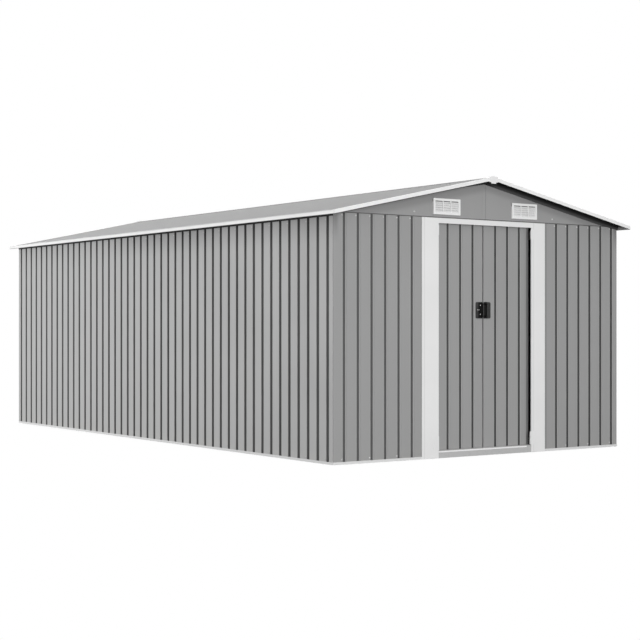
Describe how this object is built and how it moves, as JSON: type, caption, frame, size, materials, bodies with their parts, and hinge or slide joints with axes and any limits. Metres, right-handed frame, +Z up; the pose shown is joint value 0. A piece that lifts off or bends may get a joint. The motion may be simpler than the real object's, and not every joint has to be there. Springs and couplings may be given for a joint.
{
  "type": "metal storage shed",
  "caption": "Gabled garden shed of ribbed grey steel sheet with white trim, louvred gable vents and a pair of sliding doors.",
  "frame": {"origin": "centre of the shed on the ground, under the middle of the ridge", "axes": "+Y from the door front to the back wall along the ridge, +X to the right as seen from the front, +Z up"},
  "size_m": [2.53, 4.9, 1.8121],
  "materials": {
    "sheet_grey": "satin",
    "trim_white": "satin",
    "vent_white": "matte",
    "frame_zinc": "galvanised",
    "handle_black": "matte"
  },
  "bodies": {
    "shed": {"base_rail_left": "trim_white", "base_rail_right": "trim_white", "base_rail_back": "trim_white", "base_rail_front": "trim_white", "left_wall_panel_1": "sheet_grey", "left_wall_panel_2": "sheet_grey", "left_wall_panel_3": "sheet_grey", "left_wall_panel_4": "sheet_grey", "right_wall_panel_1": "sheet_grey", "right_wall_panel_2": "sheet_grey", "right_wall_panel_3": "sheet_grey", "right_wall_panel_4": "sheet_grey", "front_wall_left": "sheet_grey", "front_wall_right": "sheet_grey", "back_corner_left": "sheet_grey", "back_corner_right": "sheet_grey", "back_wall_panel": "sheet_grey", "front_gable_left": "sheet_grey", "front_gable_right": "sheet_grey", "back_gables": "sheet_grey", "vent_left": "vent_white", "vent_right": "vent_white", "door_jamb_left": "trim_white", "door_jamb_right": "trim_white", "door_header": "trim_white", "door_sill": "frame_zinc", "door_track": "frame_zinc", "roof_left": "sheet_grey", "roof_right": "sheet_grey", "ridge_cap": "sheet_grey", "ridge_end_caps": "vent_white", "eave_trim_left": "trim_white", "eave_trim_right": "trim_white", "front_verge_trims": "trim_white", "back_verge_trims": "trim_white", "corner_posts": "frame_zinc", "wall_top_rails": "frame_zinc", "wall_mid_rails": "frame_zinc", "ridge_beam": "frame_zinc", "purlins": "frame_zinc"},
    "left_door": {"door_leaf_left": "sheet_grey", "door_hangers_left": "handle_black", "door_handle_left": "handle_black"},
    "right_door": {"door_leaf_right": "sheet_grey", "door_hangers_right": "handle_black", "door_handle_right": "handle_black"}
  },
  "joints": [
    {"name": "left_door_slide", "type": "slide", "parent": "shed", "child": "left_door", "axis": [-1, 0, 0], "range_m": [0, 0.33]},
    {"name": "right_door_slide", "type": "slide", "parent": "shed", "child": "right_door", "axis": [1, 0, 0], "range_m": [0, 0.33]}
  ]
}
